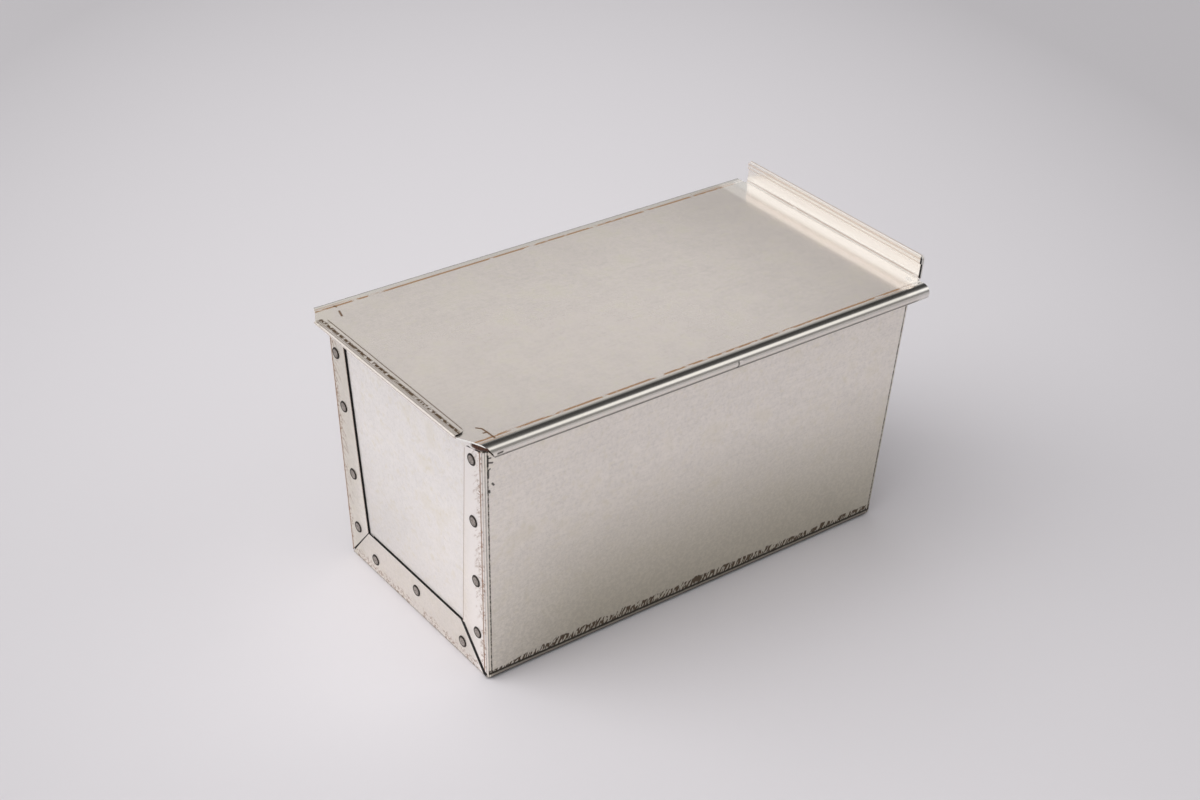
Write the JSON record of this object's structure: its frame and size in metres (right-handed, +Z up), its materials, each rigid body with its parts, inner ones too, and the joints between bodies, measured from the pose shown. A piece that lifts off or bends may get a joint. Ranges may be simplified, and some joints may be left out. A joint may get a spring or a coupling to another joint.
{
  "type": "pullman loaf pan",
  "caption": "Tapered sheet-metal loaf pan with riveted folded ends, wired rims and a lid that slides on along the pan and has a turned-up lip.",
  "frame": {"origin": "middle of the base, on the surface that the pan stands on", "axes": "+X along the pan towards the lid's turned-up lip, +Y across it, +Z up"},
  "size_m": [0.2235, 0.1234, 0.1249],
  "materials": {
    "pan_sheet": "aluminised steel sheet, satin and finely mottled, with brown tool marks along its folds",
    "end_sheet": "aluminised steel sheet, satin and finely mottled",
    "lid_sheet": "aluminised steel sheet, satin and finely mottled, with shiny rolled channels and black cut edges",
    "rim_wire": "bare brown steel wire",
    "rivets": "flat pressed heads with a dark rim and a mottled face"
  },
  "bodies": {
    "pan": {"trough": "pan_sheet", "near_end_plate": "end_sheet", "far_end_plate": "end_sheet", "rim_wire": "rim_wire", "near_left_rivets": "rivets", "near_right_rivets": "rivets", "near_bottom_rivets": "rivets", "far_left_rivets": "rivets", "far_right_rivets": "rivets", "far_bottom_rivets": "rivets"},
    "lid": {"lid": "lid_sheet"}
  },
  "joints": [
    {"name": "lid_slide", "type": "slide", "parent": "pan", "child": "lid", "axis": [1, 0, 0], "range_m": [-0.225, 0.225]}
  ]
}
